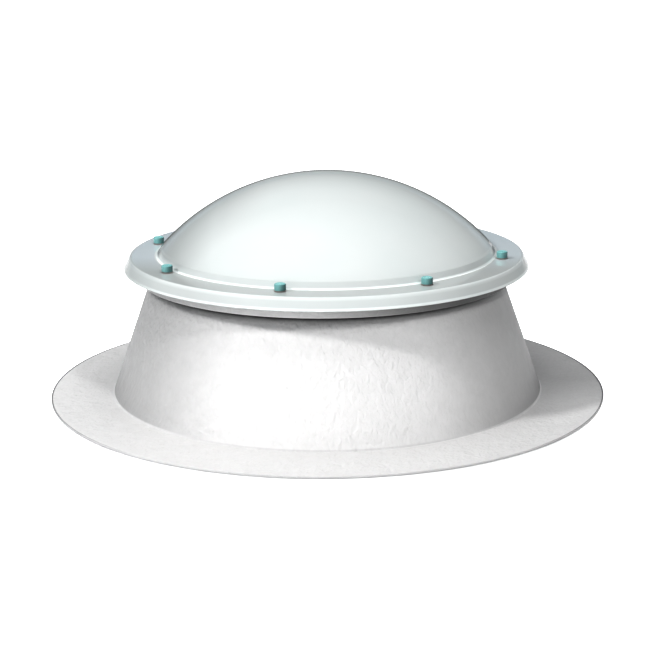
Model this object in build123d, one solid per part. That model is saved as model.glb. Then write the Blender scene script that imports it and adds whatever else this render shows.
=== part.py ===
from build123d import *
import math
import os

os.makedirs("parts", exist_ok=True)

# Round dome skylight: conical kerb, double-skin dome, eight capped fixings.
# +Z up, origin at the centre of the base flange's underside, millimetres.

# --- driving dimensions -------------------------------------------------
KERB_H = 300.0            # kerb height, underside of flange to top of rim
KERB_T = 5.0              # laminate thickness
FLANGE_R = 625.0          # outer radius of the base flange
WALL_R_TOP = 380.2        # outer radius of the cone at the rim's top plane
WALL_SLOPE = 0.357        # radius gained per unit of height, going down
RIM_R = 420.0             # outer radius of the rim's turned-down nose
NOSE_Z = 266.0            # lower edge of the nose
BASE_FILLET = 4.0         # root of the cone, outside
RIM_FILLET = 5.0          # outer shoulder of the rim

GASKET_T = 5.2            # rim gasket as clamped
INNER_T = 3.0             # inner skin
SPACER_T = 3.0            # foam between the skins
OUTER_T = 4.0             # outer skin

DOME_R = 502.8            # outer skin, outside radius of the sphere
DOME_ZC = -10.05          # height of the sphere's centre
DOME_FOOT_R = 370.0       # radius where the sphere ends and the skirt starts
SKIRT_RUN = 7.3           # radius gained down the skirt
SKIRT_FILLET = 6.0        # hollow between skirt and flange
FOOT_FILLET = 4.0         # crest between sphere and skirt
LIP_TOP_R = 438.0         # corner of flange and lip
LIP_LOW_R = 451.9         # outside lower edge of the lip
LIP_LOW_Z = 288.8
LIP_FILLET = 5.0

INNER_RISE = 148.0        # inner skin, rise of its cap above its flange
INNER_FOOT_R = 364.0      # where the inner cap meets its flange
INNER_RIM_R = 418.0       # trimmed edge of the inner flange
SPACER_IN_R = 384.0
SPACER_OUT_R = 414.0
GASKET_IN_R = 381.0
GASKET_OUT_R = 412.0

FIX_N = 8
FIX_R = 396.0             # fixing circle radius
FIX_AZ = -13.75            # first fixing's azimuth, degrees from +X

HOLE_R_SKIN = 5.5         # oversize holes in both skins
HOLE_R_FOAM = 5.3
HOLE_R_RIM = 3.5
SLEEVE_R = 5.0
SLEEVE_BORE_R = 3.4
SCREW_R = 3.0
SCREW_LEN = 35.0
HEAD_R = 5.7
HEAD_H = 3.3
SOCKET_AF = 4.0
SEAL_R = 12.0
SEAL_T = 3.0
SEAT_R = 10.3
SEAT_T = 2.2
CAP_R = 12.0
CAP_H = 13.5
CAP_WALL = 1.4
CAP_EDGE = 2.6
CAP_DISH = 1.1
NUT_WASHER_R = 9.0
NUT_WASHER_T = 1.6
NUT_AF = 10.0
NUT_H = 6.0

# --- derived levels -----------------------------------------------------
Z_RIM = KERB_H
Z_GASKET = Z_RIM + GASKET_T
Z_INNER = Z_GASKET + INNER_T
Z_SPACER = Z_INNER + SPACER_T
Z_FLANGE = Z_SPACER + OUTER_T
Z_SEAL = Z_FLANGE + SEAL_T
Z_SEAT = Z_SEAL + SEAT_T


def wall_r(z):
    """Outside radius of the cone at height z."""
    return WALL_R_TOP + WALL_SLOPE * (KERB_H - z)


WALL_DR = KERB_T * math.sqrt(1.0 + WALL_SLOPE ** 2)   # wall thickness measured radially


def rz(r, z):
    return Vector(r, 0.0, z)


def rounded(points):
    """Closed profile in the XZ plane; each point is (r, z) or (r, z, fillet radius)."""
    n = len(points)
    edges = []
    ends = []
    for i, p in enumerate(points):
        v = Vector(p[0], p[1])
        rad = p[2] if len(p) > 2 else 0.0
        if rad <= 0.0:
            ends.append((v, v, None))
            continue
        a = Vector(points[i - 1][0], points[i - 1][1])
        b = Vector(points[(i + 1) % n][0], points[(i + 1) % n][1])
        da = (a - v).normalized()
        db = (b - v).normalized()
        half = math.acos(max(-1.0, min(1.0, da.dot(db)))) / 2.0
        back = rad / math.tan(half)
        mid_dir = (da + db).normalized()
        centre = v + mid_dir * (rad / math.sin(half))
        ends.append((v + da * back, v + db * back, centre - mid_dir * rad))
    for i in range(n):
        p_in, p_out, mid = ends[i]
        if mid is not None:
            edges.append(ThreePointArc(rz(p_in.X, p_in.Y), rz(mid.X, mid.Y), rz(p_out.X, p_out.Y)))
        q_in = ends[(i + 1) % n][0]
        if (q_in - p_out).length > 1e-6:
            edges.append(Line(rz(p_out.X, p_out.Y), rz(q_in.X, q_in.Y)))
    return Wire(edges)


def turned(wire):
    """Full turn of a closed XZ profile about the Z axis."""
    return revolve(make_face(wire), Axis.Z, 360)


def at_fixings(shape):
    """Copies of one fixing piece, modelled on the Z axis, round the fixing circle."""
    out = []
    for k in range(FIX_N):
        az = FIX_AZ + 360.0 / FIX_N * k
        out.append(Rot(0, 0, az) * Pos(FIX_R, 0, 0) * Rot(0, 0, -az) * shape)
    return out


def drilled(solid, radius, z0, z1):
    drill = Pos(0, 0, (z0 + z1) / 2.0) * Cylinder(radius, z1 - z0 + 6.0)
    for c in at_fixings(drill):
        solid = solid - c
    return solid


def save(name, shape):
    solids = shape if isinstance(shape, list) else [shape]
    flat = []
    for s in solids:
        flat.extend(s.solids())
    body = flat[0] if len(flat) == 1 else Compound(children=flat)
    body.label = name
    export_step(body, "parts/%s.step" % name)
    print(name, len(flat), "solids, volume cm3:", round(sum(s.volume for s in flat) / 1000.0, 2))


# --- kerb: flange, cone, rim and nose in one laminate ---------------------
under_rim = Z_RIM - KERB_T
kerb_profile = rounded([
    (wall_r(0.0) - WALL_DR, 0.0, BASE_FILLET + KERB_T),
    (FLANGE_R, 0.0, 1.2),
    (FLANGE_R, KERB_T, 1.8),
    (wall_r(KERB_T), KERB_T, BASE_FILLET),
    (wall_r(under_rim), under_rim, 3.0),
    (RIM_R - KERB_T, under_rim, 1.5),
    (RIM_R - KERB_T, NOSE_Z, 1.6),
    (RIM_R, NOSE_Z, 2.6),
    (RIM_R, Z_RIM, RIM_FILLET),
    (wall_r(Z_RIM) - WALL_DR, Z_RIM, 4.0),
])
kerb = drilled(turned(kerb_profile), HOLE_R_RIM, under_rim, Z_RIM)
save("upstand_kerb", kerb)

# --- rim gasket -----------------------------------------------------------
gasket = turned(rounded([
    (GASKET_IN_R, Z_RIM, 0.6), (GASKET_OUT_R, Z_RIM, 0.6),
    (GASKET_OUT_R, Z_GASKET, 0.6), (GASKET_IN_R, Z_GASKET, 0.6),
]))
save("rim_gasket", drilled(gasket, HOLE_R_FOAM, Z_RIM, Z_GASKET))

# --- inner skin: cap and flat flange ----------------------------------------
apex_in = Z_INNER + INNER_RISE
rad_in = (INNER_FOOT_R ** 2 + INNER_RISE ** 2) / (2.0 * INNER_RISE)
zc_in = apex_in - rad_in


def sphere_z(radius, centre_z, r):
    return centre_z + math.sqrt(radius * radius - r * r)


r_low = rad_in - INNER_T                       # underside sphere
foot_low = math.sqrt(r_low ** 2 - (Z_GASKET - zc_in) ** 2)
mid_u = foot_low * 0.52
mid_o = INNER_FOOT_R * 0.52
inner_wire = Wire([
    ThreePointArc(rz(0, apex_in), rz(mid_o, sphere_z(rad_in, zc_in, mid_o)), rz(INNER_FOOT_R, Z_INNER)),
    Line(rz(INNER_FOOT_R, Z_INNER), rz(INNER_RIM_R, Z_INNER)),
    Line(rz(INNER_RIM_R, Z_INNER), rz(INNER_RIM_R, Z_GASKET)),
    Line(rz(INNER_RIM_R, Z_GASKET), rz(foot_low, Z_GASKET)),
    ThreePointArc(rz(foot_low, Z_GASKET), rz(mid_u, sphere_z(r_low, zc_in, mid_u)), rz(0, apex_in - INNER_T)),
    Line(rz(0, apex_in - INNER_T), rz(0, apex_in)),
])
inner_face = make_face(inner_wire).face()


def near(face, r, z):
    return min(face.vertices(), key=lambda v: (v.X - r) ** 2 + (v.Z - z) ** 2)


def soften(face, spots):
    """Round the profile's corners nearest to the given (r, z, radius) spots."""
    for r, z, rad in spots:
        face = face.fillet_2d(rad, [near(face, r, z)])
    return face


inner_face = soften(inner_face, [
    (INNER_FOOT_R, Z_INNER, 5.0),
    (foot_low, Z_GASKET, 8.0),
    (INNER_RIM_R, Z_INNER, 0.6),
    (INNER_RIM_R, Z_GASKET, 0.6),
])
inner = revolve(inner_face, Axis.Z, 360)
save("inner_dome", drilled(inner, HOLE_R_SKIN, Z_GASKET, Z_INNER))

# --- foam between the skins -------------------------------------------------
spacer = turned(rounded([
    (SPACER_IN_R, Z_INNER, 0.5), (SPACER_OUT_R, Z_INNER, 0.5),
    (SPACER_OUT_R, Z_SPACER, 0.5), (SPACER_IN_R, Z_SPACER, 0.5),
]))
save("skin_spacer", drilled(spacer, HOLE_R_FOAM, Z_INNER, Z_SPACER))

# --- outer skin: cap, skirt, flange and drip lip ------------------------------
s1 = (DOME_FOOT_R, sphere_z(DOME_R, DOME_ZC, DOME_FOOT_R))
s2 = (DOME_FOOT_R + SKIRT_RUN, Z_FLANGE)
l1 = (LIP_TOP_R, Z_FLANGE)
l2 = (LIP_LOW_R, LIP_LOW_Z)


def shifted(p, q, d):
    """Line p-q moved by d to its right-hand side, as (point, direction)."""
    dx, dz = q[0] - p[0], q[1] - p[1]
    ln = math.hypot(dx, dz)
    dx, dz = dx / ln, dz / ln
    return (p[0] + dz * d, p[1] - dx * d), (dx, dz)


def cross(a, b):
    (p, u), (q, v) = a, b
    det = u[0] * (-v[1]) + v[0] * u[1]
    t = ((q[0] - p[0]) * (-v[1]) + v[0] * (q[1] - p[1])) / det
    return (p[0] + t * u[0], p[1] + t * u[1])


# going outwards and down, the underside is on the right-hand side
skirt_u = shifted(s1, s2, OUTER_T)
flange_u = shifted(s2, l1, OUTER_T)
lip_u = shifted(l1, l2, OUTER_T)
u2 = cross(skirt_u, flange_u)
u3 = cross(flange_u, lip_u)
u4 = (l2[0] + lip_u[0][0] - l1[0], l2[1] + lip_u[0][1] - l1[1])
# underside sphere against the shifted skirt line
(px, pz), (ux, uz) = skirt_u
ru = DOME_R - OUTER_T
bq = px * ux + (pz - DOME_ZC) * uz
cq = px * px + (pz - DOME_ZC) ** 2 - ru * ru
root = math.sqrt(bq * bq - cq)
t1 = min((-bq + root, -bq - root), key=abs)
u1 = (px + t1 * ux, pz + t1 * uz)

m_o, m_u = DOME_FOOT_R * 0.52, u1[0] * 0.52
outer_wire = Wire([
    ThreePointArc(rz(0, DOME_ZC + DOME_R), rz(m_o, sphere_z(DOME_R, DOME_ZC, m_o)), rz(*s1)),
    Line(rz(*s1), rz(*s2)),
    Line(rz(*s2), rz(*l1)),
    Line(rz(*l1), rz(*l2)),
    Line(rz(*l2), rz(*u4)),
    Line(rz(*u4), rz(*u3)),
    Line(rz(*u3), rz(*u2)),
    Line(rz(*u2), rz(*u1)),
    ThreePointArc(rz(*u1), rz(m_u, sphere_z(ru, DOME_ZC, m_u)), rz(0, DOME_ZC + ru)),
    Line(rz(0, DOME_ZC + ru), rz(0, DOME_ZC + DOME_R)),
])
outer_face = soften(make_face(outer_wire).face(), [
    (*s1, FOOT_FILLET),
    (*u1, 1.0),
    (*s2, SKIRT_FILLET),
    (*u2, SKIRT_FILLET + 3.0),
    (*l1, LIP_FILLET),
    (*u3, 1.6),
    (*l2, 1.3),
    (*u4, 0.8),
])
outer = revolve(outer_face, Axis.Z, 360)
save("outer_dome", drilled(outer, HOLE_R_SKIN, Z_SPACER, Z_FLANGE))

# --- fixing pieces, each modelled on the Z axis, then copied round ------------
sleeve = turned(rounded([
    (SLEEVE_BORE_R, Z_RIM, 0.3), (SLEEVE_R, Z_RIM, 0.3),
    (SLEEVE_R, Z_FLANGE, 0.3), (SLEEVE_BORE_R, Z_FLANGE, 0.3),
]))
save("spacer_sleeves", at_fixings(sleeve))

seal = turned(rounded([
    (SLEEVE_BORE_R, Z_FLANGE, 0.2), (SEAL_R, Z_FLANGE, 0.5),
    (SEAL_R, Z_SEAL, 0.8), (SLEEVE_BORE_R, Z_SEAL, 0.2),
]))
save("sealing_washers", at_fixings(seal))

# seat with a raised outer ring that the cap's bead clips over
seat = turned(rounded([
    (SLEEVE_BORE_R, Z_SEAL, 0.2), (SEAT_R - 0.5, Z_SEAL, 0.2),
    (SEAT_R, Z_SEAL + 1.2, 0.4), (SEAT_R, Z_SEAT + 1.0, 0.5),
    (SEAT_R - 2.0, Z_SEAT + 1.0, 0.5), (SEAT_R - 2.6, Z_SEAT, 0.3),
    (SLEEVE_BORE_R, Z_SEAT, 0.2),
]))
save("cap_seats", at_fixings(seat))

# round-head screw with a hexagon socket
head = turned(rounded([
    (0.0, Z_SEAT), (HEAD_R, Z_SEAT, 0.4), (HEAD_R - 0.2, Z_SEAT + 1.3, 1.2),
    (HEAD_R - 2.4, Z_SEAT + HEAD_H, 1.2), (0.0, Z_SEAT + HEAD_H),
]))
shank = turned(rounded([
    (0.0, Z_SEAT - SCREW_LEN), (SCREW_R, Z_SEAT - SCREW_LEN, 0.6),
    (SCREW_R, Z_SEAT + 0.5), (0.0, Z_SEAT + 0.5),
]))
socket = Pos(0, 0, Z_SEAT + HEAD_H - 2.0) * extrude(
    RegularPolygon(SOCKET_AF / 2.0, 6, major_radius=False), 4.0)
screw = (head + shank) - socket
save("fixing_screws", at_fixings(screw))

# cap: rounded edge, dished top, thin wall, shallow bead inside the mouth
z_c0, z_c1 = Z_SEAL, Z_SEAL + CAP_H
cap = turned(rounded([
    (CAP_R - CAP_WALL, z_c0, 0.3), (CAP_R, z_c0, 0.5),
    (CAP_R, z_c1, CAP_EDGE), (CAP_R - 3.4, z_c1, 2.0),
    (CAP_R - 5.2, z_c1 - CAP_DISH, 2.0), (0.0, z_c1 - CAP_DISH),
    (0.0, z_c1 - CAP_DISH - CAP_WALL), (CAP_R - CAP_WALL, z_c1 - CAP_DISH - CAP_WALL, 1.2),
]))
save("screw_caps", at_fixings(cap))

washer = turned(rounded([
    (3.2, under_rim - NUT_WASHER_T, 0.2), (NUT_WASHER_R, under_rim - NUT_WASHER_T, 0.3),
    (NUT_WASHER_R, under_rim, 0.3), (3.2, under_rim, 0.2),
]))
save("nut_washers", at_fixings(washer))

# lock nut: hexagon body with a round collar at its lower end
z_n1 = under_rim - NUT_WASHER_T
hexagon = Pos(0, 0, z_n1 - 4.4) * extrude(
    RegularPolygon(NUT_AF / 2.0, 6, major_radius=False), 4.4)
collar = turned(rounded([
    (0.0, z_n1 - NUT_H), (4.2, z_n1 - NUT_H, 0.9), (4.6, z_n1 - 4.0, 0.3), (0.0, z_n1 - 4.0),
]))
bevel = turned(rounded([
    (0.0, z_n1 - NUT_H - 1.0), (4.9, z_n1 - NUT_H - 1.0), (5.0, z_n1 - 4.5),
    (5.9, z_n1 - 3.6), (5.9, z_n1 - 0.6), (5.3, z_n1), (0.0, z_n1),
]))
bore = Pos(0, 0, z_n1 - NUT_H / 2.0) * Cylinder(SCREW_R + 0.04, NUT_H + 2.0)
nut = ((hexagon & bevel) + collar) - bore
save("lock_nuts", at_fixings(nut))

print("apex", round(DOME_ZC + DOME_R, 2), "flange top", Z_FLANGE,
      "kerb bore top r", round(wall_r(Z_RIM) - WALL_DR, 2),
      "kerb bore base r", round(wall_r(0) - WALL_DR, 2),
      "inner cap r", round(rad_in, 1), "zc", round(zc_in, 2), "apex", round(apex_in, 2))
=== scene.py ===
import math

import bmesh
import bpy
import numpy as np
from mathutils import Matrix, Vector


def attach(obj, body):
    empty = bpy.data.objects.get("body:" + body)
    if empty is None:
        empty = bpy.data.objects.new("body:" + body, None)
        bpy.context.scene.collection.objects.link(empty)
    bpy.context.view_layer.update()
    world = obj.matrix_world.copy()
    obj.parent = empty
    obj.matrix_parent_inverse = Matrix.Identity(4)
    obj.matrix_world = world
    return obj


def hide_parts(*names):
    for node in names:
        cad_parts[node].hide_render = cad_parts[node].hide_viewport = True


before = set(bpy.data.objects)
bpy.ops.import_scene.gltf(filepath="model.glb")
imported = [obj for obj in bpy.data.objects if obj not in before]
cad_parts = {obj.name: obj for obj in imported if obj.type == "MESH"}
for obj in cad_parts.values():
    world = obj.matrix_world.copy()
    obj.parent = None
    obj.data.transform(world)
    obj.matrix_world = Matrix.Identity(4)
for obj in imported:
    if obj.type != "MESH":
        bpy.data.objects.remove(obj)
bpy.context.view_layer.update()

MM = 0.001

# ------------------------------------------------------------------ sizes (mm), as in the CAD part
KERB_H, KERB_T, FLANGE_R = 300.0, 5.0, 625.0
WALL_R_TOP, WALL_SLOPE = 380.2, 0.357
RIM_R, NOSE_Z = 420.0, 266.0
Z_RIM = KERB_H
Z_GASKET = 305.2
Z_INNER = 308.2
Z_SPACER = 311.2
Z_FLANGE = 315.2
Z_SEAL = Z_FLANGE + 3.0
Z_SEAT = Z_SEAL + 2.2
DOME_R, DOME_ZC, DOME_FOOT_R = 502.8, -10.05, 370.0
OUTER_T, INNER_T = 4.0, 3.0
FIX_N, FIX_R, FIX_AZ = 8, 396.0, -13.75


def wall_r(z):
    return WALL_R_TOP + WALL_SLOPE * (KERB_H - z)


WALL_DR = KERB_T * math.sqrt(1.0 + WALL_SLOPE ** 2)
UNDER_RIM = Z_RIM - KERB_T


# ------------------------------------------------------------------ profiles
def arc(cx, cz, r, a0, a1, n):
    """Points of an arc from angle a0 to a1 (radians), ends included."""
    return [(cx + r * math.cos(a0 + (a1 - a0) * i / n), cz + r * math.sin(a0 + (a1 - a0) * i / n)) for i in range(n + 1)]


def corner(a, v, b, rad, n):
    """Points of the fillet of radius rad at corner v, between directions to a and b."""
    va, vb = Vector((a[0] - v[0], a[1] - v[1])), Vector((b[0] - v[0], b[1] - v[1]))
    va.normalize(); vb.normalize()
    half = math.acos(max(-1.0, min(1.0, va.dot(vb)))) / 2.0
    back = rad / math.tan(half)
    mid = (va + vb).normalized()
    c = Vector(v) + mid * (rad / math.sin(half))
    p0, p1 = Vector(v) + va * back, Vector(v) + vb * back
    a0 = math.atan2(p0.y - c.y, p0.x - c.x)
    a1 = math.atan2(p1.y - c.y, p1.x - c.x)
    while a1 - a0 > math.pi:
        a1 -= 2 * math.pi
    while a1 - a0 < -math.pi:
        a1 += 2 * math.pi
    return arc(c.x, c.y, rad, a0, a1, n)


def rounded(points, closed=True, n=5):
    """Profile with rounded corners; each point is (r, z) or (r, z, radius)."""
    out = []
    m = len(points)
    for i, p in enumerate(points):
        rad = p[2] if len(p) > 2 else 0.0
        if rad > 0 and (closed or 0 < i < m - 1):
            out += corner(points[i - 1], (p[0], p[1]), points[(i + 1) % m], rad, n)
        else:
            out.append((p[0], p[1]))
    return out


def divided(points, longest, closed=True):
    """The same profile with its long runs divided, so that no run is longer than `longest`."""
    out = []
    m = len(points)
    for i in range(m if closed else m - 1):
        a, b = points[i], points[(i + 1) % m]
        d = math.hypot(b[0] - a[0], b[1] - a[1])
        k = max(1, math.ceil(d / longest))
        for j in range(k):
            out.append((a[0] + (b[0] - a[0]) * j / k, a[1] + (b[1] - a[1]) * j / k))
    if not closed:
        out.append(points[-1])
    return out


def profile_normals(points, closed=True):
    m = len(points)
    out = []
    for i in range(m):
        a = points[i - 1] if (closed or i) else points[i]
        b = points[(i + 1) % m] if (closed or i < m - 1) else points[i]
        dx, dz = b[0] - a[0], b[1] - a[1]
        ln = math.hypot(dx, dz) or 1.0
        out.append((dz / ln, -dx / ln))
    return out


# ------------------------------------------------------------------ meshes
def new_object(name, verts, faces, mat=None, smooth=True):
    me = bpy.data.meshes.new(name)
    me.from_pydata([tuple(v) for v in verts], [], faces)
    me.validate()
    if smooth:
        me.polygons.foreach_set("use_smooth", [True] * len(me.polygons))
    ob = bpy.data.objects.new(name, me)
    bpy.context.scene.collection.objects.link(ob)
    if mat:
        me.materials.append(mat)
    return ob


def lathe(points, seg, relief=None, closed=True):
    """Turns an (r, z) profile in mm about Z. Returns vertices in metres and faces.
    Points at r = 0 are single vertices. relief(point index, angle) moves a point along its profile normal, in mm."""
    nrm = profile_normals(points, closed)
    verts, rows = [], []
    for i, (r, z) in enumerate(points):
        if r < 1e-6:
            rows.append([len(verts)] * seg)
            verts.append((0.0, 0.0, z * MM))
            continue
        row = []
        for k in range(seg):
            a = 2 * math.pi * k / seg
            rr, zz = r, z
            if relief:
                d = relief(i, a)
                rr += nrm[i][0] * d
                zz += nrm[i][1] * d
            row.append(len(verts))
            verts.append((rr * math.cos(a) * MM, rr * math.sin(a) * MM, zz * MM))
        rows.append(row)
    faces = []
    m = len(points)
    for i in range(m if closed else m - 1):
        a, b = rows[i], rows[(i + 1) % m]
        for k in range(seg):
            q = [a[k], a[(k + 1) % seg], b[(k + 1) % seg], b[k]]
            f = []
            for v in q:
                if v not in f:
                    f.append(v)
            if len(f) >= 3:
                faces.append(f)
    return verts, faces


def outward(ob):
    """Faces turned outwards."""
    bm = bmesh.new()
    bm.from_mesh(ob.data)
    bmesh.ops.recalc_face_normals(bm, faces=bm.faces)
    bm.to_mesh(ob.data)
    bm.free()
    return ob


def crease(ob, degrees=32.0):
    """Smooth shading, with edges sharper than the angle kept sharp."""
    bm = bmesh.new()
    bm.from_mesh(ob.data)
    lim = math.radians(degrees)
    for e in bm.edges:
        e.smooth = not (len(e.link_faces) == 2 and e.calc_face_angle(0.0) > lim)
    for f in bm.faces:
        f.smooth = True
    bm.to_mesh(ob.data)
    bm.free()
    return ob


def fix_angles():
    return [math.radians(FIX_AZ + 360.0 / FIX_N * k) for k in range(FIX_N)]


def copies_at_fixings(name, verts, faces, mat):
    """One mesh holding a copy of the given Z-axis form at each fixing."""
    allv, allf = [], []
    for a in fix_angles():
        cx, cy = FIX_R * MM * math.cos(a), FIX_R * MM * math.sin(a)
        base = len(allv)
        allv += [(v[0] + cx, v[1] + cy, v[2]) for v in verts]
        allf += [[i + base for i in f] for f in faces]
    return new_object(name, allv, allf, mat)


# ------------------------------------------------------------------ materials
class Nodes:
    """Short hand for building a node material."""

    def __init__(self, name):
        self.mat = bpy.data.materials.new(name)
        self.mat.use_nodes = True
        self.nt = self.mat.node_tree
        self.nt.nodes.clear()
        self.out = self.nt.nodes.new("ShaderNodeOutputMaterial")
        self.bsdf = self.nt.nodes.new("ShaderNodeBsdfPrincipled")
        self.link(self.bsdf.outputs[0], self.out.inputs["Surface"])
        self.coord = self.nt.nodes.new("ShaderNodeTexCoord").outputs["Object"]

    def link(self, a, b):
        self.nt.links.new(a, b)

    def set(self, **values):
        for k, v in values.items():
            self.bsdf.inputs[k.replace("_", " ")].default_value = v

    def node(self, kind, **props):
        n = self.nt.nodes.new(kind)
        for k, v in props.items():
            setattr(n, k, v)
        return n

    def mapping(self, scale=(1, 1, 1), rot=(0, 0, 0), src=None):
        n = self.node("ShaderNodeMapping")
        n.inputs["Scale"].default_value = scale
        n.inputs["Rotation"].default_value = rot
        self.link(src or self.coord, n.inputs["Vector"])
        return n.outputs[0]

    def noise(self, scale, detail=3.0, rough=0.5, dist=0.0, vec=None):
        n = self.node("ShaderNodeTexNoise")
        n.inputs["Scale"].default_value = scale
        n.inputs["Detail"].default_value = detail
        n.inputs["Roughness"].default_value = rough
        n.inputs["Distortion"].default_value = dist
        self.link(vec or self.coord, n.inputs["Vector"])
        return n.outputs["Fac"]

    def voronoi(self, scale, feature="F1", vec=None, out="Distance"):
        n = self.node("ShaderNodeTexVoronoi", feature=feature)
        n.inputs["Scale"].default_value = scale
        self.link(vec or self.coord, n.inputs["Vector"])
        return n.outputs[out]

    def ramp(self, fac, stops):
        n = self.node("ShaderNodeValToRGB")
        el = n.color_ramp.elements
        el[0].position, el[0].color = stops[0][0], (*stops[0][1], 1)
        el[1].position, el[1].color = stops[-1][0], (*stops[-1][1], 1)
        for p, c in stops[1:-1]:
            e = el.new(p)
            e.color = (*c, 1)
        self.link(fac, n.inputs[0])
        return n.outputs[0]

    def remap(self, fac, a, b, lo=0.0, hi=1.0):
        n = self.node("ShaderNodeMapRange")
        n.inputs["From Min"].default_value = lo
        n.inputs["From Max"].default_value = hi
        n.inputs["To Min"].default_value = a
        n.inputs["To Max"].default_value = b
        self.link(fac, n.inputs["Value"])
        return n.outputs[0]

    def math(self, op, a, b):
        n = self.node("ShaderNodeMath", operation=op)
        for i, v in enumerate((a, b)):
            if isinstance(v, (int, float)):
                n.inputs[i].default_value = v
            else:
                self.link(v, n.inputs[i])
        return n.outputs[0]

    def mix(self, fac, a, b):
        n = self.node("ShaderNodeMix", data_type="RGBA")
        ins = [s for s in n.inputs if s.type == "RGBA"]
        f = [s for s in n.inputs if s.name == "Factor" and s.type == "VALUE"][0]
        for s, v in ((ins[0], a), (ins[1], b)):
            if isinstance(v, tuple):
                s.default_value = (*v, 1)
            else:
                self.link(v, s)
        if isinstance(fac, (int, float)):
            f.default_value = fac
        else:
            self.link(fac, f)
        return [s for s in n.outputs if s.type == "RGBA"][0]

    def facing(self, stops):
        """Grey level that follows the angle to the viewer: 0 = straight on, 1 = edge on."""
        lw = self.node("ShaderNodeLayerWeight")
        lw.inputs["Blend"].default_value = 0.5
        return self.ramp(lw.outputs["Facing"], [(p, (c, c, c)) for p, c in stops])

    def times(self, a, b):
        n = self.node("ShaderNodeVectorMath", operation="MULTIPLY")
        self.link(a, n.inputs[0])
        self.link(b, n.inputs[1])
        return n.outputs[0]

    def even(self, v):
        n = self.node("ShaderNodeCombineXYZ")
        for i in range(3):
            n.inputs[i].default_value = v
        return n.outputs[0]

    def radius(self):
        """Distance from the vertical axis, in metres."""
        flat = self.node("ShaderNodeVectorMath", operation="MULTIPLY")
        self.link(self.coord, flat.inputs[0])
        flat.inputs[1].default_value = (1.0, 1.0, 0.0)
        ln = self.node("ShaderNodeVectorMath", operation="LENGTH")
        self.link(flat.outputs[0], ln.inputs[0])
        return ln.outputs["Value"]

    def bump(self, height, strength, distance, normal=None):
        n = self.node("ShaderNodeBump")
        n.inputs["Strength"].default_value = strength
        n.inputs["Distance"].default_value = distance
        self.link(height, n.inputs["Height"])
        if normal:
            self.link(normal, n.inputs["Normal"])
        return n.outputs[0]

    def to(self, socket, src):
        self.link(src, self.bsdf.inputs[socket])


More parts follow.
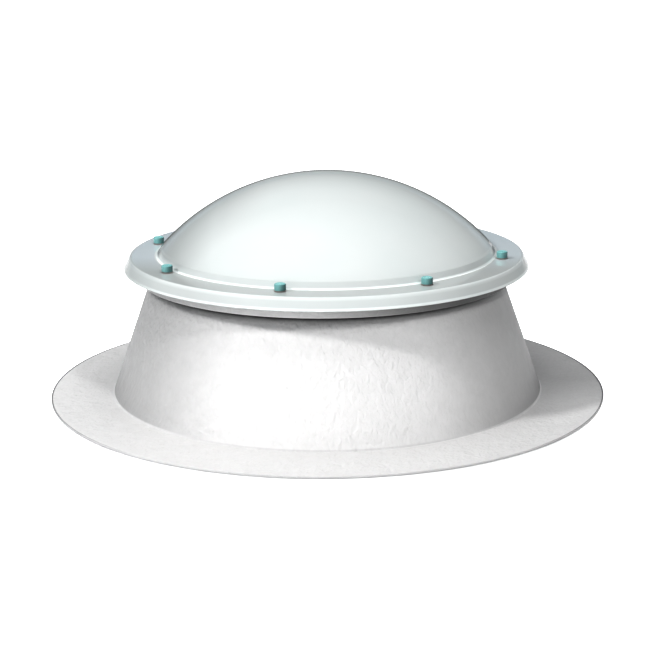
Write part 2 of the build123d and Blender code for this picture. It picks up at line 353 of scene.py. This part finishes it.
def mat_kerb():
    m = Nodes("white_gelcoat")
    # hand-laid laminate under gelcoat: soft mottle of 10 to 25 mm, with short crossing fibre marks
    fine = m.noise(170.0, 2.0, 0.55)
    mottle = m.noise(46.0, 2.0, 0.45, 0.4)
    fib_a = m.noise(40.0, 1.0, 0.4, 0.7, m.mapping((1.0, 0.35, 1.0), (0.3, 0.2, 0.6)))
    fib_b = m.noise(44.0, 1.0, 0.4, 0.6, m.mapping((0.4, 1.0, 1.0), (0.1, 0.5, -0.5)))
    fib = m.math("ADD", m.math("MULTIPLY", fib_a, 0.5), m.math("MULTIPLY", fib_b, 0.5))
    peel = m.noise(105.0, 1.5, 0.45, 0.5, m.mapping((1.0, 1.0, 0.6)))
    h = m.math("ADD", m.math("MULTIPLY", mottle, 0.45), m.math("MULTIPLY", fib, 0.58))
    h = m.math("ADD", h, m.math("MULTIPLY", peel, 0.58))
    h = m.math("ADD", h, m.math("MULTIPLY", fine, 0.06))
    tone = m.remap(h, 0.0, 1.0, 0.55, 1.05)
    col = m.mix(tone, (0.950, 0.943, 0.937), (1.000, 0.990, 0.986))
    # painted shade round the wall, palest at the front and the back and deeper at the sides; the foot flange is spared
    # that ramp and gets its own painted light, lighter on the left than the right, with a painted shadow at its right
    # back
    xyz = m.node("ShaderNodeSeparateXYZ")
    m.link(m.coord, xyz.inputs[0])
    turn = m.math("DIVIDE", m.math("ABSOLUTE", xyz.outputs["Y"], 0.0), m.radius())
    grey = lambda v: (v, v, v)
    painted_shading = m.ramp(m.remap(turn, 1.0, 0.0, 0.0, 1.0), [(0.0, grey(0.93)), (0.104, grey(0.90)), (0.1945, grey(0.79)), (0.27, grey(0.70)),
                                                    (0.411, grey(0.59)), (0.558, grey(0.53)), (0.761, grey(0.47)), (0.974, grey(0.42))])
    on_wall = m.remap(xyz.outputs["Z"], 0.0, 1.0, 0.0055, 0.0085)
    foot = m.mix(m.remap(xyz.outputs["X"], 0.0, 1.0, -0.45, 0.3), (0.775, 0.775, 0.775), (0.72, 0.72, 0.72))
    painted_lee_shade = m.math("MULTIPLY", m.remap(xyz.outputs["X"], 0.0, 1.0, 0.3, 0.42), m.remap(xyz.outputs["Y"], 0.0, 1.0, -0.16, 0.02))
    foot = m.times(foot, m.mix(painted_lee_shade, (1.0, 1.0, 1.0), (0.77, 0.77, 0.772)))
    painted_shading = m.mix(on_wall, foot, painted_shading)
    # the radius at the foot of the wall gets a painted highlight, a paler line
    fillet = m.math("MULTIPLY", m.remap(xyz.outputs["Z"], 0.0, 1.0, 0.0051, 0.0058), m.remap(xyz.outputs["Z"], 1.0, 0.0, 0.0085, 0.0110))
    painted_shading = m.mix(fillet, painted_shading, (0.80, 0.80, 0.80))
    col = m.times(col, painted_shading)
    # painted shade: the recess below the rim is darker, most of all on its right side
    ao = m.node("ShaderNodeAmbientOcclusion", samples=8)
    ao.inputs["Distance"].default_value = 0.09
    shade = m.ramp(ao.outputs["AO"], [(0.12, (0.15, 0.15, 0.152)), (0.47, (0.66, 0.66, 0.662)), (0.8, (1.0, 1.0, 1.0))])
    deep = m.ramp(ao.outputs["AO"], [(0.12, (0.06, 0.06, 0.061)), (0.42, (0.48, 0.48, 0.482)), (0.74, (1.0, 1.0, 1.0))])
    shade = m.mix(m.remap(xyz.outputs["X"], 0.0, 1.0, -0.08, 0.22), shade, deep)
    high = m.remap(xyz.outputs["Z"], 0.0, 1.0, 0.15, 0.24)
    col = m.times(col, m.mix(high, (1.0, 1.0, 1.0), shade))
    # painted shade along the cut outer edge of the foot flange: a dark line at the left and right sides, barely darker
    # at the front
    rad = m.radius()
    side = m.remap(m.math("ABSOLUTE", xyz.outputs["X"], 0.0), 0.0, 1.0, 0.40, 0.58)
    lower = m.remap(rad, 0.0, 1.0, 0.6241, 0.6247)
    start = m.remap(xyz.outputs["Y"], 0.6224, 0.6192, -0.25, 0.12)
    upper = m.remap(m.math("SUBTRACT", rad, start), 0.0, 1.0, 0.0, 0.0006)
    painted_front_edge_shade = m.mix(lower, (1.0, 1.0, 1.0), (0.97, 0.97, 0.975))
    painted_side_edge_shade = m.mix(upper, (1.0, 1.0, 1.0), (0.40, 0.40, 0.405))
    painted_side_edge_shade = m.mix(lower, painted_side_edge_shade, (0.72, 0.72, 0.725))
    col = m.times(col, m.mix(side, painted_front_edge_shade, painted_side_edge_shade))
    # painted shade on the turned-down edge of the rim, under the dome's lip, deepening toward the right
    nose = m.remap(rad, 0.0, 1.0, 0.4130, 0.4165)
    above = m.remap(xyz.outputs["Z"], 0.0, 1.0, 0.262, 0.2645)
    painted_nose_shade = m.ramp(m.remap(xyz.outputs["X"], 0.0, 1.0, -0.42, 0.42), [(0.0, (1.0, 1.0, 1.0)), (0.42, (1.0, 1.0, 1.0)), (0.5, (0.86, 0.86, 0.86)), (0.6, (0.62, 0.62, 0.62)), (0.7, (0.38, 0.38, 0.38)), (0.83, (0.24, 0.24, 0.24)), (1.0, (0.22, 0.22, 0.22))])
    col = m.times(col, m.mix(m.math("MULTIPLY", nose, above), (1.0, 1.0, 1.0), painted_nose_shade))
    # line of shade on the wall behind the rim's turned-down edge
    line = m.ramp(m.remap(xyz.outputs["Z"], 0.0, 1.0, 0.24, 0.27), [(0.2, (1.0, 1.0, 1.0)), (0.42, (0.75, 0.75, 0.75)), (0.6, (0.22, 0.22, 0.22)), (0.75, (0.04, 0.04, 0.04))])
    col = m.times(col, m.mix(m.remap(rad, 0.0, 1.0, 0.413, 0.409), (1.0, 1.0, 1.0), line))
    m.to("Base Color", col)
    m.to("Roughness", m.remap(mottle, 0.42, 0.56, 0.3, 0.7))
    m.set(IOR=1.45)
    calm = m.math("MULTIPLY", m.remap(xyz.outputs["X"], 1.0, 0.3, 0.1, 0.3), m.remap(xyz.outputs["X"], 0.9, 1.0, -0.3, -0.1))
    calm = m.math("MAXIMUM", calm, m.remap(on_wall, 0.85, 0.0, 0.0, 1.0))
    m.to("Normal", m.bump(m.math("MULTIPLY", h, calm), 1.0, 0.0040))
    return m.mat


def mat_acrylic():
    m = Nodes("opal_acrylic")
    wave = m.noise(9.0, 1.5, 0.4)
    spot = m.noise(420.0, 2.0, 0.6)
    col = m.mix(m.remap(wave, 0.0, 1.0, 0.3, 0.7), (0.945, 0.99, 0.98), (0.965, 1.0, 0.99))
    # painted shade: the dome's colour darkens as its surface turns edge-on to the view, with a milder painted darkening
    # on the lip
    painted_shading = m.facing([(0.0, 0.745), (0.15, 0.742), (0.24, 0.73), (0.345, 0.712), (0.5, 0.684), (0.65, 0.684), (0.79, 0.69), (0.85, 0.55), (0.9, 0.38), (0.95, 0.26), (1.0, 0.2)])
    rad = m.radius()
    lip = m.remap(rad, 0.0, 1.0, 0.4385, 0.4405)
    painted_shading = m.mix(lip, painted_shading, m.facing([(0.0, 0.745), (0.24, 0.73), (0.5, 0.684), (0.8, 0.64), (1.0, 0.54)]))
    col = m.times(col, painted_shading)
    # painted highlights on the forming radii, paler than the flat flange between them
    t = m.remap(rad, 0.0, 1.0, 0.36, 0.46)
    g = lambda v: (v, v, v)
    painted_light_band = m.ramp(t, [(0.0, g(0.74)), (0.152, g(0.74)), (0.165, g(1.0)), (0.20, g(1.0)), (0.22, g(0.585)), (0.76, g(0.585)),
                      (0.775, g(0.80)), (0.805, g(0.80)), (0.825, g(0.71)), (0.888, g(0.71)), (0.898, g(0.92))])
    xyz = m.node("ShaderNodeSeparateXYZ")
    m.link(m.coord, xyz.inputs[0])
    # painted shade: at the back, the dome's foot and its radius stay darker, without the painted highlight
    behind = m.math("MULTIPLY", m.remap(xyz.outputs["Y"], 0.0, 1.0, -0.12, 0.02), m.remap(rad, 0.0, 1.0, 0.385, 0.383))
    painted_light_band = m.mix(behind, painted_light_band, g(0.70))
    # painted reflection: a bluish tint on the flange behind the dome
    far = m.math("MULTIPLY", m.remap(xyz.outputs["Y"], 0.0, 1.0, -0.2, -0.05), m.remap(rad, 0.0, 1.0, 0.383, 0.385))
    far = m.math("MULTIPLY", far, m.remap(rad, 0.0, 1.0, 0.4370, 0.4345))
    painted_light_band = m.times(painted_light_band, m.mix(far, g(1.0), (1.19, 1.23, 1.28)))
    # painted shade on the left end of the lip's top radius, and on the lip's left and right sides
    lip_end = m.math("MULTIPLY", m.remap(xyz.outputs["X"], 0.0, 1.0, -0.34, -0.44), m.remap(rad, 0.0, 1.0, 0.4335, 0.4360))
    painted_light_band = m.mix(lip_end, painted_light_band, g(0.62))
    left = m.math("MULTIPLY", m.remap(xyz.outputs["X"], 0.0, 1.0, -0.16, -0.28), lip)
    painted_light_band = m.times(painted_light_band, m.mix(left, g(1.0), g(0.90)))
    right = m.math("MULTIPLY", m.remap(xyz.outputs["X"], 0.0, 1.0, 0.12, 0.3), lip)
    painted_light_band = m.times(painted_light_band, m.mix(right, g(1.0), g(0.86)))
    # the left shoulder of the dome turns away from the lamps
    shoulder = m.math("MULTIPLY", m.remap(xyz.outputs["X"], 0.0, 1.0, -0.24, -0.36), m.remap(rad, 0.0, 1.0, 0.374, 0.370))
    painted_light_band = m.times(painted_light_band, m.mix(shoulder, g(1.0), g(0.78)))
    turned = m.math("MULTIPLY", m.facing([(0.0, 0.0), (0.42, 0.0), (0.6, 0.8), (0.75, 1.0)]), m.remap(xyz.outputs["X"], 0.0, 1.0, -0.12, -0.22))
    turned = m.math("MULTIPLY", turned, m.remap(rad, 0.0, 1.0, 0.374, 0.370))
    painted_light_band = m.times(painted_light_band, m.mix(turned, g(1.0), g(0.87)))
    m.to("Base Color", m.times(col, m.times(painted_light_band, m.even(1.351))))
    m.to("Roughness", m.remap(spot, 0.06, 0.11, 0.35, 0.7))
    m.set(IOR=1.49)
    gloss = m.facing([(0.0, 0.40), (0.79, 0.40), (0.835, 0.06), (0.87, 0.0), (1.0, 0.0)])
    heel = m.math("MULTIPLY", m.remap(rad, 0.0, 1.0, 0.364, 0.367), m.remap(rad, 1.0, 0.0, 0.3835, 0.385))
    heel = m.math("MULTIPLY", heel, m.remap(xyz.outputs["Y"], 0.0, 1.0, -0.2, -0.1))
    gloss = m.mix(heel, gloss, (0.03, 0.03, 0.03))
    ends = m.math("MULTIPLY", m.remap(m.math("ABSOLUTE", xyz.outputs["X"], 0.0), 0.0, 1.0, 0.27, 0.36), lip)
    gloss = m.mix(ends, gloss, (0.02, 0.02, 0.02))
    m.to("Specular IOR Level", gloss)
    m.to("Normal", m.bump(wave, 0.25, 0.002))
    return m.mat


def mat_inner():
    m = Nodes("inner_acrylic")
    wave = m.noise(9.0, 1.5, 0.4)
    m.to("Base Color", m.mix(wave, (0.90, 0.93, 0.93), (0.94, 0.96, 0.96)))
    m.to("Roughness", m.remap(wave, 0.05, 0.10))
    m.set(IOR=1.49, Transmission_Weight=0.6)
    return m.mat


def mat_cap():
    m = Nodes("cap_plastic")
    grain = m.noise(900.0, 2.0, 0.5)
    soft = m.noise(60.0, 2.0, 0.5)
    col = m.mix(m.remap(soft, 0.2, 0.8, 0.3, 0.7), (0.235, 0.455, 0.45), (0.265, 0.49, 0.485))
    # painted light: paler where the cap faces up, sides deeper on the side away from the lamps
    turn = m.node("ShaderNodeSeparateXYZ")
    m.link(m.node("ShaderNodeTexCoord").outputs["Normal"], turn.inputs[0])
    painted_lit_top = m.remap(turn.outputs["Z"], 0.0, 1.0, 0.35, 0.9)
    painted_lee_shade = m.remap(turn.outputs["X"], 0.0, 1.0, -0.3, 0.85)
    side = m.mix(painted_lee_shade, (1.12, 1.12, 1.12), (0.36, 0.385, 0.395))
    m.to("Base Color", m.times(col, m.mix(painted_lit_top, side, (1.22, 1.22, 1.22))))
    m.to("Roughness", m.remap(grain, 0.20, 0.32, 0.3, 0.7))
    m.set(IOR=1.5)
    m.to("Normal", m.bump(grain, 0.15, 0.0002))
    return m.mat


def mat_seat():
    m = Nodes("seat_plastic")
    grain = m.noise(700.0, 2.0, 0.5)
    m.to("Base Color", m.mix(grain, (0.15, 0.36, 0.36), (0.20, 0.44, 0.44)))
    m.to("Roughness", m.remap(grain, 0.4, 0.6))
    return m.mat


def mat_rubber():
    m = Nodes("seal_rubber")
    grain = m.noise(800.0, 3.0, 0.6)
    m.to("Base Color", m.mix(grain, (0.29, 0.265, 0.25), (0.35, 0.325, 0.31)))
    m.to("Roughness", m.remap(grain, 0.55, 0.75))
    m.to("Normal", m.bump(grain, 0.3, 0.0002))
    return m.mat


def mat_foam():
    m = Nodes("foam_grey")
    cell = m.voronoi(600.0)
    m.to("Base Color", m.mix(cell, (0.10, 0.105, 0.11), (0.16, 0.165, 0.17)))
    m.to("Roughness", m.remap(cell, 0.75, 0.95))
    m.to("Normal", m.bump(cell, 0.5, 0.0006))
    return m.mat


def mat_nylon():
    m = Nodes("nylon_natural")
    grain = m.noise(500.0, 2.0, 0.5)
    m.to("Base Color", m.mix(grain, (0.74, 0.73, 0.69), (0.80, 0.79, 0.75)))
    m.to("Roughness", m.remap(grain, 0.4, 0.55))
    return m.mat


def mat_steel():
    m = Nodes("stainless")
    fine = m.noise(650.0, 3.0, 0.6, 0.0, m.mapping((1.0, 1.0, 0.1)))
    m.to("Base Color", m.mix(fine, (0.55, 0.56, 0.57), (0.66, 0.67, 0.68)))
    m.to("Roughness", m.remap(fine, 0.22, 0.38))
    m.set(Metallic=1.0)
    return m.mat


M_KERB, M_ACRYLIC, M_INNER = mat_kerb(), mat_acrylic(), mat_inner()
M_CAP, M_SEAT, M_RUBBER, M_FOAM, M_NYLON, M_STEEL = mat_cap(), mat_seat(), mat_rubber(), mat_foam(), mat_nylon(), mat_steel()


def add_piece(ob, node):
    outward(ob)
    crease(ob)
    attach(ob, "root")
    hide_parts(node)
    return ob


# ------------------------------------------------------------------ kerb
kerb_pts = rounded([
    (wall_r(0.0) - WALL_DR, 0.0, 9.0),
    (FLANGE_R, 0.0, 1.2),
    (FLANGE_R, KERB_T, 1.8),
    (wall_r(KERB_T), KERB_T, 4.0),
    (wall_r(UNDER_RIM), UNDER_RIM, 3.0),
    (RIM_R - KERB_T, UNDER_RIM, 1.5),
    (RIM_R - KERB_T, NOSE_Z, 1.6),
    (RIM_R, NOSE_Z, 2.6),
    (RIM_R, Z_RIM, 5.0),
    (wall_r(Z_RIM) - WALL_DR, Z_RIM, 4.0),
], n=4)
kerb_pts = divided(kerb_pts, 16.0)
v, f = lathe(kerb_pts, 360)
kerb = add_piece(new_object("kerb_moulding", v, f, M_KERB), "upstand_kerb")


# ------------------------------------------------------------------ outer dome
def sphere_z(radius, centre_z, r):
    return centre_z + math.sqrt(radius * radius - r * r)


def sphere_pts(radius, centre_z, r_end, n):
    a_end = math.asin(r_end / radius)
    return [(radius * math.sin(a_end * i / n), centre_z + radius * math.cos(a_end * i / n)) for i in range(n + 1)]


def shifted(p, q, d):
    dx, dz = q[0] - p[0], q[1] - p[1]
    ln = math.hypot(dx, dz)
    dx, dz = dx / ln, dz / ln
    return (p[0] + dz * d, p[1] - dx * d), (dx, dz)


def cross(a, b):
    (p, u), (q, w) = a, b
    det = u[0] * (-w[1]) + w[0] * u[1]
    t = ((q[0] - p[0]) * (-w[1]) + w[0] * (q[1] - p[1])) / det
    return (p[0] + t * u[0], p[1] + t * u[1])


s1 = (DOME_FOOT_R, sphere_z(DOME_R, DOME_ZC, DOME_FOOT_R))
s2 = (DOME_FOOT_R + 7.3, Z_FLANGE)
l1 = (438.0, Z_FLANGE)
l2 = (451.9, 288.8)
skirt_u, flange_u, lip_u = shifted(s1, s2, OUTER_T), shifted(s2, l1, OUTER_T), shifted(l1, l2, OUTER_T)
u2, u3 = cross(skirt_u, flange_u), cross(flange_u, lip_u)
u4 = (l2[0] + lip_u[0][0] - l1[0], l2[1] + lip_u[0][1] - l1[1])
(px, pz), (ux, uz) = skirt_u
ru = DOME_R - OUTER_T
bq = px * ux + (pz - DOME_ZC) * uz
cq = px * px + (pz - DOME_ZC) ** 2 - ru * ru
root = math.sqrt(bq * bq - cq)
t1 = min((-bq + root, -bq - root), key=abs)
u1 = (px + t1 * ux, pz + t1 * uz)

cap_o = sphere_pts(DOME_R, DOME_ZC, DOME_FOOT_R, 64)
cap_u = sphere_pts(ru, DOME_ZC, u1[0], 48)
foot = corner(cap_o[-2], s1, s2, 4.0, 4)
cap_o = [p for p in cap_o if p[0] < foot[0][0] - 0.5]
dome_pts = (cap_o + foot
            + corner(s1, s2, l1, 6.0, 6)
            + corner(s2, l1, l2, 5.0, 6)
            + corner(l1, l2, u4, 1.3, 4)
            + corner(l2, u4, u3, 0.8, 3)
            + corner(u4, u3, u2, 1.6, 3)
            + corner(u3, u2, u1, 9.0, 5)
            + [p for p in reversed(cap_u)])
v, f = lathe(dome_pts, 480, closed=False)
dome = add_piece(new_object("dome_outer", v, f, M_ACRYLIC), "outer_dome")

# ------------------------------------------------------------------ inner dome
apex_in = Z_INNER + 148.0
rad_in = (364.0 ** 2 + 148.0 ** 2) / (2 * 148.0)
zc_in = apex_in - rad_in
r_low = rad_in - INNER_T
foot_low = math.sqrt(r_low ** 2 - (Z_GASKET - zc_in) ** 2)
in_o = sphere_pts(rad_in, zc_in, 364.0, 48)
in_u = sphere_pts(r_low, zc_in, foot_low, 48)
inner_pts = ([p for p in in_o if p[0] < 361.0]
             + corner(in_o[-2], (364.0, Z_INNER), (418.0, Z_INNER), 5.0, 5)
             + rounded([(364.0, Z_INNER), (418.0, Z_INNER, 0.6), (418.0, Z_GASKET, 0.6), (foot_low, Z_GASKET)], closed=False, n=3)[1:-1]
             + corner((418.0, Z_GASKET), (foot_low, Z_GASKET), in_u[-2], 8.0, 5)
             + [p for p in reversed(in_u) if p[0] < foot_low - 6.0])
v, f = lathe(inner_pts, 240, closed=False)
inner = add_piece(new_object("dome_inner", v, f, M_INNER), "inner_dome")

# ------------------------------------------------------------------ foam rings
v, f = lathe(rounded([(381.0, Z_RIM, 0.6), (412.0, Z_RIM, 0.6), (412.0, Z_GASKET, 0.6), (381.0, Z_GASKET, 0.6)], n=3), 240)
add_piece(new_object("gasket_ring", v, f, M_FOAM), "rim_gasket")
v, f = lathe(rounded([(384.0, Z_INNER, 0.5), (414.0, Z_INNER, 0.5), (414.0, Z_SPACER, 0.5), (384.0, Z_SPACER, 0.5)], n=3), 240)
add_piece(new_object("spacer_ring", v, f, M_FOAM), "skin_spacer")

# ------------------------------------------------------------------ caps and washers
CAP_R, CAP_H, CAP_WALL = 12.0, 13.5, 1.4
z0, z1 = Z_SEAL, Z_SEAL + CAP_H
cap_pts = rounded([
    (CAP_R - CAP_WALL, z0, 0.3), (CAP_R, z0, 0.5), (CAP_R, z1, 2.6), (CAP_R - 3.4, z1, 2.0),
    (CAP_R - 5.2, z1 - 1.1, 2.0), (0.0, z1 - 1.1), (0.0, z1 - 1.1 - CAP_WALL),
    (CAP_R - CAP_WALL, z1 - 1.1 - CAP_WALL, 1.2),
], n=6)
i0 = next(i for i, p in enumerate(cap_pts) if p[0] < 1e-6)
cap_pts = cap_pts[i0 + 1:] + cap_pts[:i0 + 1]      # open at the axis
v, f = lathe(cap_pts, 96, closed=False)
add_piece(copies_at_fixings("cap_set", v, f, M_CAP), "screw_caps")

v, f = lathe(rounded([(3.4, Z_FLANGE, 0.2), (12.0, Z_FLANGE, 0.5), (12.0, Z_SEAL, 0.8), (3.4, Z_SEAL, 0.2)], n=4), 96)
add_piece(copies_at_fixings("seal_washer_set", v, f, M_RUBBER), "sealing_washers")

# ------------------------------------------------------------------ carried-over nodes
for node, mat in (("cap_seats", M_SEAT), ("spacer_sleeves", M_NYLON), ("fixing_screws", M_STEEL),
                  ("nut_washers", M_STEEL), ("lock_nuts", M_STEEL)):
    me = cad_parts[node].data
    me.materials.clear()
    me.materials.append(mat)

# ------------------------------------------------------------------ floor
def floor_disc():
    verts, faces = lathe([(0.0, 0.0), (500.0, 0.0), (900.0, 0.0), (4000.0, 0.0), (12000.0, 0.0), (40000.0, 0.0)], 96, closed=False)
    m = Nodes("floor_paint")
    grain = m.noise(3.0, 2.0, 0.5)
    m.to("Base Color", m.mix(grain, (0.90, 0.90, 0.90), (0.92, 0.92, 0.92)))
    m.to("Roughness", m.remap(grain, 0.85, 0.95))
    # a lit table: a low glow, stronger behind the part and far away, where the lamps reach less
    xyz = m.node("ShaderNodeSeparateXYZ")
    m.link(m.coord, xyz.inputs[0])
    ln = m.node("ShaderNodeVectorMath", operation="LENGTH")
    m.link(m.coord, ln.inputs[0])
    r = ln.outputs["Value"]
    back = m.remap(xyz.outputs["Y"], 0.0, 1.0, -0.42, -0.12)
    near = m.remap(r, 1.0, 0.0, 0.85, 1.3)
    far = m.remap(r, 0.0, 1.0, 0.9, 2.6)
    glow = m.math("ADD", m.math("MULTIPLY", m.math("MULTIPLY", back, near), 0.75), m.math("MULTIPLY", far, 0.75))
    glow = m.math("ADD", glow, 0.03)
    m.bsdf.inputs["Emission Color"].default_value = (1, 1, 1, 1)
    m.to("Emission Strength", glow)
    ob = new_object("floor", verts, faces, m.mat)
    ob.location.z = -0.0006
    outward(ob)
    return ob


floor = floor_disc()


def backdrop():
    verts, faces = lathe([(38000.0, -1.0), (38000.0, 9000.0), (38000.0, 30000.0)], 96, closed=False)
    m = Nodes("backdrop_paint")
    grain = m.noise(0.5, 2.0, 0.5)
    m.to("Base Color", m.mix(grain, (0.90, 0.90, 0.90), (0.92, 0.92, 0.92)))
    m.to("Roughness", m.remap(grain, 0.85, 0.95))
    m.bsdf.inputs["Emission Color"].default_value = (1, 1, 1, 1)
    m.bsdf.inputs["Emission Strength"].default_value = 1.1
    ob = new_object("backdrop", verts, faces, m.mat)
    ob.visible_diffuse = ob.visible_glossy = ob.visible_transmission = ob.visible_volume_scatter = ob.visible_shadow = False
    return ob


wall_behind = backdrop()

# ------------------------------------------------------------------ light
world = bpy.data.worlds.new("studio")
bpy.context.scene.world = world
world.use_nodes = True
wn = world.node_tree
bg = wn.nodes["Background"]
wc = wn.nodes.new("ShaderNodeTexCoord")
ws = wn.nodes.new("ShaderNodeSeparateXYZ")
wn.links.new(wc.outputs["Generated"], ws.inputs[0])


def sky_ramp(stops):
    r = wn.nodes.new("ShaderNodeValToRGB")
    el = r.color_ramp.elements
    el[0].position, el[0].color = stops[0][0], (*stops[0][1], 1)
    el[1].position, el[1].color = stops[-1][0], (*stops[-1][1], 1)
    for p, c in stops[1:-1]:
        e = el.new(p)
        e.color = (*c, 1)
    wn.links.new(ws.outputs["Z"], r.inputs[0])
    return r.outputs[0]


# a dim room that is paler low down on the left and behind the part
dim = sky_ramp([(0.0, (0.12, 0.13, 0.14)), (0.25, (0.055, 0.06, 0.066)), (0.9, (0.055, 0.06, 0.066))])
pale = sky_ramp([(0.0, (0.50, 0.57, 0.63)), (0.10, (0.44, 0.51, 0.57)), (0.26, (0.075, 0.082, 0.09)), (0.9, (0.055, 0.06, 0.066))])
wd = wn.nodes.new("ShaderNodeVectorMath")
wd.operation = "DOT_PRODUCT"
wd.inputs[1].default_value = (-0.62, 0.785, 0.0)
wn.links.new(wc.outputs["Generated"], wd.inputs[0])
wm = wn.nodes.new("ShaderNodeMapRange")
wm.inputs["From Min"].default_value = -0.15
wm.inputs["From Max"].default_value = 0.35
wn.links.new(wd.outputs["Value"], wm.inputs["Value"])
wx = wn.nodes.new("ShaderNodeMix")
wx.data_type = "RGBA"
wn.links.new(wm.outputs[0], [q for q in wx.inputs if q.name == "Factor" and q.type == "VALUE"][0])
wa, wb = [q for q in wx.inputs if q.type == "RGBA"]
wn.links.new(dim, wa)
wn.links.new(pale, wb)
wn.links.new([q for q in wx.outputs if q.type == "RGBA"][0], bg.inputs["Color"])
bg.inputs["Strength"].default_value = 1.0


def aimed(name, data, az, el, dist, target=(0, 0, 0.22)):
    """Places a lamp: az degrees from the camera side (-Y), positive to the right, el degrees up."""
    a, e = math.radians(az), math.radians(el)
    d = Vector((math.sin(a) * math.cos(e), -math.cos(a) * math.cos(e), math.sin(e)))
    ob = bpy.data.objects.new(name, data)
    ob.location = Vector(target) + d * dist
    ob.rotation_mode = "QUATERNION"
    ob.rotation_quaternion = (-d).to_track_quat("-Z", "Y")
    bpy.context.scene.collection.objects.link(ob)
    return ob


def area(name, az, el, dist, size, watts, color=(1, 1, 1)):
    data = bpy.data.lights.new(name, "AREA")
    data.shape = "RECTANGLE"
    data.size, data.size_y = size
    data.energy = watts
    data.color = color
    return aimed(name, data, az, el, dist)


def sun(name, az, el, strength, angle, color=(1, 1, 1)):
    data = bpy.data.lights.new(name, "SUN")
    data.energy = strength
    data.angle = math.radians(angle)
    data.color = color
    return aimed(name, data, az, el, 6.0)


sun("key_left", -61.5, 40, 1.6, 6.5)
sun("key_right", 32.5, 40, 0.88, 6.5)
sun("front_soft", -18, 46, 0.22, 10.0)
sun("front_fill", 5, 45, 0.08, 10.0)
area("overhead", 0, 86, 3.5, (3.0, 3.0), 90)
area("side_left", -100, 25, 4.0, (2.0, 2.0), 9)
area("rear", 180, 40, 4.0, (2.5, 2.0), 5)

for name in ("key_left", "key_right", "front_soft", "front_fill", "overhead", "side_left", "rear"):
    bpy.data.objects[name].visible_glossy = False

# ------------------------------------------------------------------ camera, as measured from the picture
F_PX, PITCH, ROLL = 1655.03, math.radians(14.6518), math.radians(-0.4852)
CAM = Vector((-3.07292, -3637.89, 1093.527)) * MM
fwd = Vector((0, math.cos(PITCH), -math.sin(PITCH)))
up0 = Vector((0, math.sin(PITCH), math.cos(PITCH)))
rt0 = Vector((1, 0, 0))
rt = rt0 * math.cos(ROLL) + up0 * math.sin(ROLL)
up = -rt0 * math.sin(ROLL) + up0 * math.cos(ROLL)
cam_data = bpy.data.cameras.new("camera")
cam_data.sensor_width = 36.0
cam_data.lens = F_PX / 651.0 * 36.0
cam_data.clip_start, cam_data.clip_end = 0.05, 200.0
cam = bpy.data.objects.new("camera", cam_data)
bpy.context.scene.collection.objects.link(cam)
cam.matrix_world = Matrix(((rt.x, up.x, -fwd.x, CAM.x), (rt.y, up.y, -fwd.y, CAM.y), (rt.z, up.z, -fwd.z, CAM.z), (0, 0, 0, 1)))
bpy.context.scene.camera = cam
bpy.context.scene.view_settings.view_transform = "Standard"
bpy.context.scene.view_settings.gamma = 0.7
